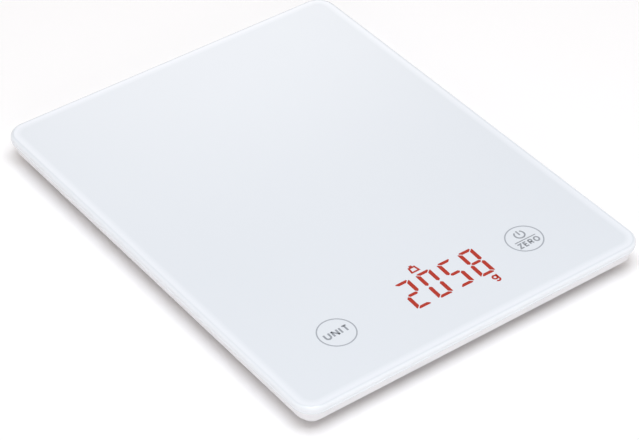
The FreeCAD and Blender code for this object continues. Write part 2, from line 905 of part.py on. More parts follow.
def display_bars(clearance, bottom, height):
    """All the bars of the four digits, then the weight sign above and the unit sign at the right."""
    rise = size.segment_rise.value
    half = size.digit_half_width.value
    lean = size.segment_slant.value / rise
    thick = size.segment_thick.value - 2 * clearance
    level = segment_short.value - 2 * clearance
    upright = segment_long.value - 2 * clearance
    bars = []
    for digit in range(4):
        x = size.digit_shift.value + digit * size.digit_pitch.value
        for row in (-1, 0, 1):
            y = key_y.value + row * rise
            bars.append(bar(level, thick, x + lean * row * rise, y, bottom, height, False, lean))
        for side in (-1, 1):
            for row in (-0.5, 0.5):
                y = key_y.value + row * rise
                flank_x = x + side * half + lean * row * rise
                bars.append(bar(upright, thick, flank_x, y, bottom, height, True, lean))
    return bars


def sign_posts(clearance, bottom, height):
    """The wells of the weight sign, above the digits, and of the unit sign, at their lower right."""
    across = size.sign_size.value - clearance
    rise = size.sign_rise.value
    second_digit = size.digit_shift.value + size.digit_pitch.value
    last_digit = second_digit + 2 * size.digit_pitch.value
    places = [
        (second_digit - size.sign_shift.value, key_y.value + rise),
        (last_digit, key_y.value - rise),
    ]
    return [
        Part.makeBox(across, across, height, Vector(x - across / 2, y - across / 2, bottom)) for x, y in places
    ]


def make_display():
    """The light wells run through the housing, an LED sits in the foot of each, clear resin fills the rest."""
    height = size.housing_height.value
    wells = doc.addObject("Part::Feature", "Wells")
    wells.Shape = Part.makeCompound(
        display_bars(0, board_top.value, height) + sign_posts(0, board_top.value, height)
    )
    block = box(housing_width, housing_length, size.housing_height, display_x, key_y, board_top)
    housing = doc.addObject("Part::Cut", "display_housing")
    housing.Base = block
    housing.Tool = wells
    housing.Label = "display_housing"

    play = size.segment_play.value
    resin_bottom = board_top.value + size.led_height.value + play
    resin_height = board_top.value + height - resin_bottom
    lenses = doc.addObject("Part::Feature", "display_lenses")
    lenses.Shape = Part.makeCompound(
        display_bars(play, resin_bottom, resin_height) + sign_posts(play, resin_bottom, resin_height)
    )
    lenses.Label = "display_lenses"

    leds = []
    for solid in lenses.Shape.Solids:
        middle = solid.BoundBox.Center
        wide = solid.BoundBox.XLength > solid.BoundBox.YLength
        x_size, y_size = size.led_width.value, size.led_length.value
        if not wide:
            x_size, y_size = y_size, x_size
        corner = Vector(middle.x - x_size / 2, middle.y - y_size / 2, board_top.value)
        leds.append(Part.makeBox(x_size, y_size, size.led_height.value, corner))
    chips = doc.addObject("Part::Feature", "display_leds")
    chips.Shape = Part.makeCompound(leds)
    chips.Label = "display_leds"

    film = new_body("display_film")
    film_bottom = glass_bottom - size.film_thick
    add_block(film, housing_width, housing_length, film_bottom, size.film_thick, display_x, key_y)

    gasket = new_body("display_gasket")
    inner_width = housing_width + 2 * size.housing_play
    inner_length = housing_length + 2 * size.housing_play
    sketch = new_sketch(gasket, rim_top, display_x, key_y)
    draw_rectangle(sketch, inner_width, inner_length)
    draw_rectangle(sketch, inner_width + 2 * size.gasket_width, inner_length + 2 * size.gasket_width)
    extrude(gasket, "Pad", sketch, size.tape_thick)


def make_touch_spring(label, key_x):
    """A coil that stands on the board and presses on the glass behind its key."""
    wire = size.spring_wire.value / 2
    coil_radius = size.spring_radius.value - wire
    height = (glass_bottom - board_top - size.spring_wire).value
    steps = 6 * SIZES["spring_turns"]
    points = []
    for step in range(steps + 1):
        angle = step * math.pi / 3
        points.append(
            Vector(coil_radius * math.cos(angle), coil_radius * math.sin(angle), height * step / steps)
        )
    coil = doc.addObject("Part::Feature", label)
    coil.Shape = round_wire(points, wire)
    coil.Label = label
    place(coil, key_x, key_y, board_top + wire)


# ---------------------------------------------------------------- power cells, contacts and door

def make_power_cells():
    for label, side in (("coin_cell_left", -1), ("coin_cell_right", 1)):
        body = new_body(label)
        can = add_post(body, size.coin_radius, coin_bottom, size.coin_can)
        doc.recompute()
        round_edges(body, can, flat_faces(can.Shape), size.coin_round)
        add_post(body, size.coin_cap_radius, coin_bottom + size.coin_can, size.coin_cap)
        place(body, side * coin_x, size.bay_centre)


def make_contacts():
    """Spring-sheet contacts: two with tabs through the front wall, one that joins the cells."""
    thick = size.contact_thick
    width = size.contact_width
    reach = size.coin_radius + size.bay_wall + size.contact_tab

    negative = new_body("negative_contact")
    add_post(negative, size.contact_disc_radius, coin_top, thick)
    add_block(negative, width, reach, coin_top, thick, 0, -reach / 2)
    place(negative, -coin_x, size.bay_centre)

    positive = new_body("positive_contact")
    blade_height = size.coin_can + size.coin_cap - size.contact_blade_gap
    blade_y = -size.coin_radius - thick / 2
    add_block(positive, width, thick, coin_top - blade_height, blade_height + thick, 0, blade_y)
    tab_length = size.bay_wall + size.contact_tab
    add_block(positive, width, tab_length, coin_top, thick, 0, -size.coin_radius - tab_length / 2)
    place(positive, coin_x, size.bay_centre)

    bridge = new_body("bridge_contact")
    add_post(bridge, size.contact_disc_radius, coin_top, thick, coin_x, 0)
    strip = size.contact_strip
    edge_y = size.coin_radius + thick
    add_block(bridge, width, edge_y, coin_top, thick, coin_x, edge_y / 2)
    add_block(bridge, 2 * coin_x + width, strip, coin_top, thick, 0, edge_y - strip / 2)
    blade_y = edge_y - thick / 2
    add_block(bridge, width, thick, coin_top - blade_height, blade_height + thick, -coin_x, blade_y)
    place(bridge, 0, size.bay_centre)


def make_battery_door():
    """Its back edge is a full round that it turns about; two tabs reach in over the cover's floor."""
    body = new_body("battery_door")
    front = -(door_length / 2)
    axis = door_length / 2 - hinge_radius
    plate_length = axis - front
    add_block(body, door_width, plate_length, size.cover_lift, size.door_thick, 0, (axis + front) / 2)
    sketch = body.newObject("Sketcher::SketchObject", "Outline")
    plane = next(part for part in body.Origin.OriginFeatures if part.Role == "YZ_Plane")
    sketch.AttachmentSupport = [(plane, "")]
    sketch.MapMode = "FlatFace"
    bind(sketch, "AttachmentOffset.Base.x", axis)
    bind(sketch, "AttachmentOffset.Base.y", hinge_z)
    draw_circle(sketch, hinge_radius)
    barrel = extrude(body, "Pad", sketch, door_width)
    barrel.SideType = "Symmetric"

    tab_bottom = floor_top + size.tab_gap / 3
    tab_back = axis + size.tab_reach
    neck_front = axis - size.tab_root
    neck_back = axis + size.tab_neck
    for side in (-1, 1):
        x = side * size.tab_spread / 2
        neck_y = (neck_back + neck_front) / 2
        neck_height = tab_bottom + size.tab_thick - door_top
        add_block(body, size.tab_width, neck_back - neck_front, door_top, neck_height, x, neck_y)
        tab_y = (tab_back + neck_front) / 2
        add_block(body, size.tab_width, tab_back - neck_front, tab_bottom, size.tab_thick, x, tab_y)
    for side in (-1, 1):
        x = side * (size.latch_width + size.latch_slit) / 2
        cut_block(body, size.latch_slit, size.latch_length, door_top, size.door_thick, x,
                  front + size.latch_length / 2)
    nose = size.latch_nose
    nose_bottom = door_top - size.door_gap / 2 - nose
    nose_length = nose + size.door_gap
    nose_y = front - nose_length / 2
    add_block(body, size.latch_width - size.latch_slit, nose_length, nose_bottom, nose, 0, nose_y)
    place(body, 0, size.bay_centre)


# ---------------------------------------------------------------- leads

def lead_group(label, routes):
    leads = doc.addObject("Part::Feature", label)
    leads.Shape = Part.makeCompound([round_wire(route, size.lead_radius.value) for route in routes])
    leads.Label = label
    return [route[-1] for route in routes]


def make_leads():
    """Three leads from each load cell, two from the battery contacts; each ends on a solder joint."""
    z = lead_z.value
    pitch = size.lead_pitch.value
    x_cell = foot_x.value
    gauge_y = foot_y.value - size.gauge_length.value / 2
    board_edge = board_width.value / 2
    lead_end = board_back.value - size.lead_board_end.value
    pad_front = foot_y.value - bracket_width.value / 2 - size.bracket_ear.value
    ends = []
    for corner, (side, end) in CORNERS.items():
        routes = []
        for step in (-1, 0, 1):
            x = side * x_cell + step * pitch
            if end < 0:
                turn_y = -pad_front + 3 * pitch + side * step * pitch
                stop = Vector(side * (board_edge - size.lead_board_side.value), turn_y, z)
                routes.append([Vector(x, -gauge_y, z), Vector(x, turn_y, z), stop])
            else:
                lane_x = side * size.lead_lane.value + step * pitch
                routes.append([
                    Vector(x, gauge_y, z),
                    Vector(x, pad_front - size.lead_drop.value, z),
                    Vector(lane_x, size.bay_centre.value - size.coin_radius.value, z),
                    Vector(lane_x, lead_end, z),
                ])
        ends += lead_group(f"load_cell_leads_{corner}", routes)

    tab_y = size.bay_centre.value - size.coin_radius.value - size.bay_wall.value - size.contact_tab.value
    halfway = (tab_y + board_back.value) / 2
    for label, side in (("negative_lead", -1), ("positive_lead", 1)):
        x = side * coin_x.value
        tab_z = coin_top.value + size.contact_thick.value + size.lead_radius.value
        route = [
            Vector(x, tab_y + size.lead_on_tab.value, tab_z),
            Vector(x, tab_y - size.lead_off_tab.value, tab_z),
            Vector(x - size.lead_sway.value, halfway + size.lead_run.value, z),
            Vector(x + size.lead_return.value, halfway - size.lead_run.value, z),
            Vector(x, lead_end, z),
        ]
        ends += lead_group(label, [route])

    joints = []
    for stop in ends:
        joints.append(
            Part.makeCone(size.solder_radius.value, size.lead_radius.value, size.solder_height.value,
                          Vector(stop.x, stop.y, board_top.value))
        )
    solder = doc.addObject("Part::Feature", "solder_joints")
    solder.Shape = Part.makeCompound(joints)
    solder.Label = "solder_joints"


# ---------------------------------------------------------------- build, check and write

make_glass_platform()
make_adhesive_frame()
make_carrier_frame()
make_bottom_cover()
for corner, (side, end) in CORNERS.items():
    make_foot(corner, side, end)
make_strain_gauges()
make_screws()
make_control_board()
make_display()
make_touch_spring("touch_spring_unit", unit_key_x)
make_touch_spring("touch_spring_zero", zero_key_x)
make_power_cells()
make_contacts()
make_battery_door()
make_leads()
doc.recompute()

LOOSE_NODES = ["strain_gauges", "cover_screws", "bracket_screws", "board_screws", "board_capacitors",
               "display_housing", "display_lenses", "display_leds", "touch_spring_unit", "touch_spring_zero",
               "negative_lead", "positive_lead", "solder_joints"]
LOOSE_NODES += [f"load_cell_leads_{corner}" for corner in CORNERS]

nodes = [thing for thing in doc.Objects if thing.TypeId == "PartDesign::Body" or thing.Label in LOOSE_NODES]
for thing in doc.Objects:
    if "Invalid" in thing.State or "Error" in thing.State:
        raise RuntimeError(f"{thing.Label} failed: {thing.State}")
    if thing.TypeId == "PartDesign::Pocket" and thing.Shape.Volume > thing.BaseFeature.Shape.Volume - 1e-4:
        raise RuntimeError(f"{thing.Label} cuts nothing")
for node in nodes:
    if node.Shape.isNull() or not node.Shape.isValid() or not node.Shape.Solids:
        raise RuntimeError(f"{node.Label} has no valid solid")

os.makedirs("parts", exist_ok=True)
for node in nodes:
    node.Shape.exportStep(f"parts/{node.Label}.step")
    print(node.Label, len(node.Shape.Solids), round(node.Shape.Volume, 1))
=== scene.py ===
import math
import bpy
import numpy as np
from mathutils import Matrix, Vector


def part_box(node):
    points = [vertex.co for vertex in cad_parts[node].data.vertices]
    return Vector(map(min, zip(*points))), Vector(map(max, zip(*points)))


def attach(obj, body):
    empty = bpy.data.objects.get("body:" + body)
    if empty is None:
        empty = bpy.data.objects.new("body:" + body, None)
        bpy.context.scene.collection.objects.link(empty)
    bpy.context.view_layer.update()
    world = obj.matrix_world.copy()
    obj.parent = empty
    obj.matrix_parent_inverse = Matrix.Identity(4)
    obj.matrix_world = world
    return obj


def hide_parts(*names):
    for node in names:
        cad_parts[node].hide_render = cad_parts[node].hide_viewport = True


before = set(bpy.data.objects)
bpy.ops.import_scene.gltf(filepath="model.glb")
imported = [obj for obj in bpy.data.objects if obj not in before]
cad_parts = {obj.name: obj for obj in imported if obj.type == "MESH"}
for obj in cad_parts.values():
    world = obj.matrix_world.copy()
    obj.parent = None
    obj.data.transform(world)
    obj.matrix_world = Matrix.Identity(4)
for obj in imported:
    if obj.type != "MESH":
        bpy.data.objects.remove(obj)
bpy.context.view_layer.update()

# Slim electronic kitchen scale. Metres; X right along the front edge, Y to the back, Z up.
# A name that ends in _MM holds millimetres, and so do the outlines of the print and the read-out,
# until mm() or MM takes them to metres. Other lengths are in metres.

MM = 0.001


def mm(*lengths):
    """Millimetres to metres, one value or several."""
    return lengths[0] * MM if len(lengths) == 1 else tuple(length * MM for length in lengths)


# ---------------------------------------------------------------- places read from the frame

PLATE_LOW, PLATE_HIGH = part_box("glass_platform")
TOP = PLATE_HIGH.z
GLASS_BOTTOM = PLATE_LOW.z
HALF_WIDTH = PLATE_HIGH.x
HALF_LENGTH = PLATE_HIGH.y


def middle(node):
    """The centre of a CAD node's box."""
    low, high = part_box(node)
    return (low + high) / 2


UNIT_KEY = middle("touch_spring_unit")
ZERO_KEY = middle("touch_spring_zero")
DISPLAY = middle("display_housing")

CORNER_RADIUS = mm(9)
EDGE_ROUND = mm(1.5)

# White enamel is fired on the back of the glass, so the pane is opaque and takes its colour from the
# enamel. What is printed on its back, and the lit bars behind it, are thin plates let into its upper
# face, where the eye sees them: the glass's face is lowered by a hair so that they end at its height.
PRINT_TOP = TOP
FACE_TOP = TOP - mm(0.03)
PLATE_THICK = mm(0.06)
# How far in from its outline the platform is painted brighter: painted light, for light let in through
# the glass's side.
PAINTED_BRIGHT_BORDER_WIDTH = mm(5)
# Seen at a slant through the thickness of the glass, print on its back looks moved by this much.
SEEN_SHIFT_MM = np.array([-1.4, -2.0])


# ---------------------------------------------------------------- materials

def to_linear(code):
    """An sRGB hex colour as linear red, green, blue and alpha 1, by the sRGB curve."""
    values = np.array([int(code[place:place + 2], 16) for place in (1, 3, 5)]) / 255
    linear = np.where(values <= 0.04045, values / 12.92, ((values + 0.055) / 1.055) ** 2.4)
    return (*linear.tolist(), 1.0)


def add_node(material, kind, settings=None, links=None):
    """Adds one node: settings are attribute or socket values, links are (socket, source output)."""
    tree = material.node_tree
    node = tree.nodes.new(kind)
    for name, value in (settings or {}).items():
        if isinstance(name, int) or name in node.inputs:
            node.inputs[name].default_value = value
        else:
            setattr(node, name, value)
    for name, source in (links or {}).items():
        tree.links.new(source, node.inputs[name])
    return node


def new_material(name, settings):
    """A material with one Principled shader, its constant values set on its own sockets."""
    material = bpy.data.materials.new(name)
    material.use_nodes = True
    shader = material.node_tree.nodes["Principled BSDF"]
    for socket, value in settings.items():
        shader.inputs[socket].default_value = value
    return material, shader


def feed(material, shader, socket, source):
    """Links an output to one of the shader's sockets."""
    material.node_tree.links.new(source, shader.inputs[socket])


def ramp(material, factor, stops):
    """A colour ramp over factor; stops are (position, hex colour)."""
    node = add_node(material, "ShaderNodeValToRGB", links={"Fac": factor})
    elements = node.color_ramp.elements
    while len(elements) < len(stops):
        elements.new(0.5)
    for element, (position, code) in zip(elements, stops):
        element.position = position
        element.color = to_linear(code)
    return node.outputs["Color"]


def noise(material, size_mm, detail=2.0, stretch=(1, 1, 1)):
    """Noise on Object coordinates whose blotches are about size_mm across."""
    where = add_node(material, "ShaderNodeTexCoord").outputs["Object"]
    scaled = add_node(material, "ShaderNodeMapping", {"Scale": stretch}, {"Vector": where})
    node = add_node(
        material,
        "ShaderNodeTexNoise",
        {"Scale": 1 / mm(size_mm), "Detail": detail},
        {"Vector": scaled.outputs["Vector"]},
    )
    return node.outputs["Fac"]


def bump(material, shader, height, distance_mm, strength):
    """Raises the surface by up to a distance where height is 1."""
    settings = {"Strength": strength, "Distance": mm(distance_mm)}
    node = add_node(material, "ShaderNodeBump", settings, {"Height": height})
    feed(material, shader, "Normal", node.outputs["Normal"])


def spread(material, value, low, high):
    """Maps 0 to 1 onto low to high."""
    node = add_node(material, "ShaderNodeMapRange", {"To Min": low, "To Max": high}, {"Value": value})
    return node.outputs["Result"]


def near_edge(material, width):
    """0 over the middle of the platform, rising evenly to 1 at its outline over a width: the distance
    to a rounded rectangle, which is the length of what sticks out past its corners' centres."""
    where = add_node(material, "ShaderNodeTexCoord").outputs["Object"]
    corner = (HALF_WIDTH - CORNER_RADIUS, HALF_LENGTH - CORNER_RADIUS, 0)
    steps = [("ABSOLUTE", None), ("MULTIPLY", (1, 1, 0)), ("SUBTRACT", corner), ("MAXIMUM", (0, 0, 0))]
    for operation, value in steps:
        settings = {"operation": operation}
        if value is not None:
            settings[1] = value
        where = add_node(material, "ShaderNodeVectorMath", settings, {0: where}).outputs["Vector"]
    out = add_node(material, "ShaderNodeVectorMath", {"operation": "LENGTH"}, {0: where}).outputs["Value"]
    rise = add_node(
        material,
        "ShaderNodeMapRange",
        {"From Min": CORNER_RADIUS - width, "From Max": CORNER_RADIUS},
        {"Value": out},
    )
    return rise.outputs["Result"]


def back_painted_glass():
    """Tempered float glass with white enamel fired on its back: an even cool white under a clear
    reflection, with the faint long wave that the tempering rollers leave. Painted light: a border a
    little wider than the glass is thick is painted brighter, for light that comes in through the side,
    a thin greyer line near the round edge is painted shade, and the round edge outside it a painted
    highlight."""
    material, shader = new_material("back_painted_tempered_glass", {"Roughness": 0.12, "IOR": 1.52})
    # From the middle out to the outline: the enamel's even white, a painted brighter border, a thin line
    # of painted shade and a painted highlight on the round edge.
    stops = [(0.0, "#E4E9EF"), (0.5, "#EFF3F9"), (0.66, "#EEF2F8"), (0.76, "#E2E7ED"), (0.9, "#F3F7FC")]
    white = ramp(material, near_edge(material, PAINTED_BRIGHT_BORDER_WIDTH), stops)
    cloud = spread(material, noise(material, 90, detail=1.0), 0.99, 1.01)
    even = add_node(material, "ShaderNodeHueSaturation", links={"Color": white, "Value": cloud})
    feed(material, shader, "Base Color", even.outputs["Color"])
    wave = noise(material, 40, detail=0.0, stretch=(1, 0.2, 1))
    bump(material, shader, wave, 0.02, 0.2)
    return material


def ground_edge():
    """The edge ground with a fine wheel and satin polished: it scatters light, so it looks white."""
    material, shader = new_material(
        "ground_glass_edge", {"Roughness": 0.22, "IOR": 1.52, "Coat Weight": 0.5, "Coat Roughness": 0.08}
    )
    streaks = noise(material, 1.5, detail=3.0, stretch=(1, 1, 8))
    feed(material, shader, "Base Color", ramp(material, streaks, [(0.3, "#F0F5FB"), (0.7, "#F4F9FF")]))
    bump(material, shader, streaks, 0.01, 0.3)
    return material


def screen_ink(name, code):
    """Matt screen-printing ink with the slight mottle of a mesh print."""
    material, shader = new_material(name, {"Roughness": 0.7, "IOR": 1.5})
    mottle = noise(material, 0.4)
    node = add_node(
        material,
        "ShaderNodeHueSaturation",
        {"Color": to_linear(code)},
        {"Value": spread(material, mottle, 0.94, 1.06)},
    )
    feed(material, shader, "Base Color", node.outputs["Color"])
    return material


def lit_resin():
    """Diffused resin lit from behind by red LEDs, its colour faintly grained."""
    material, shader = new_material(
        "lit_red_led_resin",
        {"Roughness": 0.5, "Emission Color": to_linear("#E6380C"), "Emission Strength": 0.38},
    )
    grain = noise(material, 1.2)
    feed(material, shader, "Base Color", ramp(material, grain, [(0.3, "#620A02"), (0.7, "#741004")]))
    return material


def moulded_abs(name, light, dark, grain_mm=0.35, rough=0.42):
    """Injection-moulded plastic, mostly ABS: satin, with a fine spark-eroded texture."""
    material, shader = new_material(name, {"Roughness": rough, "IOR": 1.53})
    cloud = noise(material, 25, detail=3.0)
    feed(material, shader, "Base Color", ramp(material, cloud, [(0.35, dark), (0.65, light)]))
    grain = noise(material, grain_mm, detail=3.0)
    feed(material, shader, "Roughness", spread(material, grain, rough - 0.06, rough + 0.08))
    bump(material, shader, grain, 0.02, 0.6)
    return material


def silicone_rubber():
    """Moulded silicone rubber: dull, dusty where it meets the table."""
    material, shader = new_material("moulded_silicone_rubber", {"Roughness": 0.8, "IOR": 1.41})
    dust = noise(material, 2.5, detail=4.0)
    feed(material, shader, "Base Color", ramp(material, dust, [(0.35, "#6E6F72"), (0.7, "#8B8C8E")]))
    bump(material, shader, noise(material, 0.3), 0.02, 0.5)
    return material


def plated_steel(name, code, rough=0.3):
    """Stamped or headed steel with bright zinc or nickel plating and faint tool marks."""
    material, shader = new_material(name, {"Metallic": 1.0, "Roughness": rough})
    marks = noise(material, 0.5, detail=3.0, stretch=(1, 6, 1))
    feed(material, shader, "Roughness", spread(material, marks, rough - 0.08, rough + 0.12))
    cloud = noise(material, 4)
    shade = add_node(
        material,
        "ShaderNodeHueSaturation",
        {"Color": to_linear(code)},
        {"Value": spread(material, cloud, 0.92, 1.04)},
    )
    feed(material, shader, "Base Color", shade.outputs["Color"])
    return material


def plain_finish(name, light, dark, size_mm, rough, metallic=0.0):
    """A small inner part's finish: two close tones of its colour, mottled at its own scale."""
    material, shader = new_material(name, {"Roughness": rough, "Metallic": metallic})
    cloud = noise(material, size_mm, detail=3.0)
    feed(material, shader, "Base Color", ramp(material, cloud, [(0.35, dark), (0.65, light)]))
    bump(material, shader, cloud, 0.01, 0.4)
    return material


# ---------------------------------------------------------------- meshes

def new_piece(name, points, faces, material, smooth=False, body="scale_body"):
    """Makes a mesh object at the origin from an array of points, and lets it ride on a body."""
    mesh = bpy.data.meshes.new(name)
    mesh.from_pydata(np.asarray(points, float).reshape(-1, 3).tolist(), [], faces)
    mesh.polygons.foreach_set("use_smooth", np.full(len(mesh.polygons), smooth))
    mesh.materials.append(material)
    mesh.update()
    piece = bpy.data.objects.new(name, mesh)
    bpy.context.scene.collection.objects.link(piece)
    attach(piece, body)
    return piece


def grid_faces(rows, columns):
    """Quads between rows of a grid whose columns close on themselves."""
    row, column = np.meshgrid(np.arange(rows - 1), np.arange(columns), indexing="ij")
    after = (column + 1) % columns
    quads = np.stack([row * columns + column, row * columns + after,
                      (row + 1) * columns + after, (row + 1) * columns + column], -1)
    return quads.reshape(-1, 4).tolist()


def rounded_outline(half_width, half_length, radius, steps):
    """Anticlockwise outline of a rectangle with round corners: four quarter circles of the radius,
    each swept by its angle, joined by straights. Gives the points and their outward directions."""
    angle = (np.arange(4)[:, None] + np.linspace(0, 1, steps + 1)) * math.pi / 2
    centre = np.array([[1, 1], [-1, 1], [-1, -1], [1, -1]]) * (half_width - radius, half_length - radius)
    outward = np.stack([np.cos(angle), np.sin(angle)], -1)
    points = centre[:, None] + outward * radius
    return points.reshape(-1, 2), outward.reshape(-1, 2)


def carried_profile(outline, outward, inset, height):
    """Carries a profile along an outline: each profile point lies inset inwards from the outline, along
    its outward direction, at its height. Returns a grid of rows (profile) by columns (outline)."""
    flat = outline[None] - outward[None] * inset[:, None, None]
    tall = np.broadcast_to(height[:, None, None], (*flat.shape[:2], 1))
    return np.concatenate([flat, tall], -1)


def closed_slab(name, outline, outward, inset, height, material):
    """A slab from a carried profile that starts on its lower face and ends on its upper one, with both
    ends closed by one flat face each."""
    grid = carried_profile(outline, outward, inset, height)
    rows, columns = grid.shape[:2]
    rim = np.arange(columns)
    faces = grid_faces(rows, columns) + [rim[::-1].tolist(), (rim + (rows - 1) * columns).tolist()]
    return new_piece(name, grid, faces, material, smooth=True)


# ---------------------------------------------------------------- platform

# The flat faces end this far inside the round edge, so that shading stays flat on them.
FLAT_MARGIN = mm(0.3)
CORNER_STEPS = 16
ROUND_STEPS = 8


def make_glass():
    """The glass: its profile goes out along the lower face, round the lower arris, up the side,
    round the upper arris and in along the top, with sine and cosine of a quarter turn for each
    arris. The side and the lower arris are ground."""
    outline, outward = rounded_outline(HALF_WIDTH, HALF_LENGTH, CORNER_RADIUS, CORNER_STEPS)
    turn = np.linspace(0, math.pi / 2, ROUND_STEPS + 1)
    reach_in = EDGE_ROUND * (1 - np.sin(turn))
    rise = EDGE_ROUND * (1 - np.cos(turn))
    flat = np.array([PAINTED_BRIGHT_BORDER_WIDTH, EDGE_ROUND + FLAT_MARGIN])
    inset = np.concatenate([flat, reach_in, rise, flat[::-1]])
    low = GLASS_BOTTOM + np.concatenate([[0, 0], rise])
    high = FACE_TOP - np.concatenate([reach_in, [0, 0]])
    glass = closed_slab("platform_glass", outline, outward, inset, np.concatenate([low, high]),
                        back_painted_glass())
    glass.data.materials.append(ground_edge())
    # Faces come row by row: the lower face's flat strip is row 0, and the ground rows follow it.
    columns = len(outline)
    side_rows = len(flat) + len(turn)
    finish = np.zeros(len(glass.data.polygons), int)
    finish[columns:side_rows * columns] = 1
    glass.data.polygons.foreach_set("material_index", finish)
    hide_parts("glass_platform")


make_glass()


# ---------------------------------------------------------------- print and read-out

# A stroke's corner is drawn no sharper than this cosine allows, so that it has no long spike.
SHARPEST = 0.4


def flat_stroke(path, width, closed):
    """The two sides of a stroke of even width along a path of points: each side is the path moved half
    the width square to its mean direction, stretched at corners so that the width stays even."""
    if closed:
        before = path - np.roll(path, 1, 0)
        after = np.roll(path, -1, 0) - path
    else:
        step = np.diff(path, axis=0)
        before = np.vstack([step[:1], step])
        after = np.vstack([step, step[-1:]])
    before = before / np.linalg.norm(before, axis=1, keepdims=True)
    after = after / np.linalg.norm(after, axis=1, keepdims=True)
    mean = before + after
    mean = mean / np.linalg.norm(mean, axis=1, keepdims=True)
    square = np.stack([-mean[:, 1], mean[:, 0]], -1)
    stretch = 1 / np.maximum((mean * after).sum(1), SHARPEST)
    side = square * (stretch * width / 2)[:, None]
    return path + side, path - side


def flat_marks(name, strokes, material):
    """One piece from many strokes, each (path in mm, width in mm, closed). A stroke is a thin ribbon:
    its four long edges are rows of points, joined row to row by quads, with a face over each end."""
    points, faces, start = [], [], 0
    for path, width, closed in strokes:
        left, right = flat_stroke(np.asarray(path, float) * MM, mm(width), closed)
        count = len(left)
        rows = [(right, PRINT_TOP), (left, PRINT_TOP),
                (left, PRINT_TOP - PLATE_THICK), (right, PRINT_TOP - PLATE_THICK)]
        points += [np.column_stack([side, np.full(count, height)]) for side, height in rows]
        along = np.arange(count if closed else count - 1)
        after = (along + 1) % count
        row = start + np.arange(len(rows))[:, None] * count
        below = np.roll(row, -1, 0)
        quads = np.stack([row + along, row + after, below + after, below + along], -1)
        faces += quads.reshape(-1, 4).tolist()
        if not closed:
            first = row[:, 0]
            faces += [first.tolist(), (first[::-1] + count - 1).tolist()]
        start += len(rows) * count
    return new_piece(name, np.vstack(points), faces, material)


def flat_plates(name, outlines, material):
    """One piece from many filled outlines in millimetres, each a thin plate. An outline that runs
    clockwise is turned round: the sum of x times the next y, less y times the next x, is below 0."""
    points, faces, start = [], [], 0
    for outline in outlines:
        x, y = outline.T * MM
        if (x * np.roll(y, -1) - y * np.roll(x, -1)).sum() < 0:
            x, y = x[::-1], y[::-1]
        count = len(x)
        heights = (PRINT_TOP, PRINT_TOP - PLATE_THICK)
        points += [np.column_stack([x, y, np.full(count, height)]) for height in heights]
        upper = start + np.arange(count)
        lower = upper + count
        sides = np.column_stack([upper, lower, np.roll(lower, -1), np.roll(upper, -1)])
        faces += [upper.tolist(), lower[::-1].tolist()] + sides.tolist()
        start += 2 * count
    return new_piece(name, np.vstack(points), faces, material)


def arc(centre, radius, start, end, steps):
    """Points of an arc; angles in degrees, anticlockwise."""
    angle = np.radians(np.linspace(start, end, steps + 1))
    return np.column_stack([centre[0] + radius * np.cos(angle), centre[1] + radius * np.sin(angle)])


def circle(centre, radius, steps):
    """Points of a whole circle, without the last one, which is the first again."""
    return arc(centre, radius, 0, 360, steps)[:-1]


# Plain capitals of one stroke weight in a box one unit high: each one's width and its open paths.
LETTERS = {
    "U": (0.72, [[(0, 1), *arc((0.36, 0.36), 0.36, 180, 360, 16), (0.72, 1)]]),
    "N": (0.74, [[(0, 0), (0, 1)], [(0, 1), (0.74, 0)], [(0.74, 0), (0.74, 1)]]),
    "I": (0.0, [[(0, 0), (0, 1)]]),
    "T": (0.66, [[(0, 1), (0.66, 1)], [(0.33, 0), (0.33, 1)]]),
    "Z": (0.62, [[(0, 1), (0.62, 1), (0, 0), (0.62, 0)]]),
    "E": (0.52, [[(0.52, 1), (0, 1), (0, 0), (0.52, 0)], [(0, 0.52), (0.48, 0.52)]]),
    "R": (0.58, [
        [(0, 0), (0, 1)],
        [(0, 1), *arc((0.32, 0.74), 0.26, 90, -90, 12), (0, 0.48)],
        [(0.3, 0.48), (0.58, 0)],
    ]),
    "O": (0.84, [arc((1, 1), 1, 0, 360, 48) * (0.42, 0.5)]),
}


def word(text, centre, height, weight, width):
    """Letters in a row, centred on a point and spaced to fill a width, as strokes in millimetres."""
    drawn = [LETTERS[letter] for letter in text]
    ink_height = height - weight
    own = sum(advance for advance, _ in drawn) * ink_height
    gap = (width - weight - own) / (len(drawn) - 1)
    strokes = []
    x = centre[0] - (width - weight) / 2
    for advance, paths in drawn:
        corner = (x, centre[1] - ink_height / 2)
        strokes += [(np.array(path) * ink_height + corner, weight, False) for path in paths]
        x += advance * ink_height + gap
    return strokes


RING_RADIUS_MM = 7.9
RING_WEIGHT_MM = 0.55
RING_STEPS = 96
# In the zero key, the on-off sign stands above a rule and the word below it.
SIGN_RISE_MM = 3.1
SIGN_RADIUS_MM = 2.2
SIGN_WEIGHT_MM = 0.7
# The on-off sign's ring is open by this angle at each side of its stem.
SIGN_GAP_DEG = 35
STEM_ENDS_MM = [(0, -0.3), (0, 2.5)]
RULE_ENDS_MM = [(-5.25, -0.45), (5.25, -0.45)]
RULE_WEIGHT_MM = 0.5
ZERO_WORD_PLACE_MM = (0, -3.0)


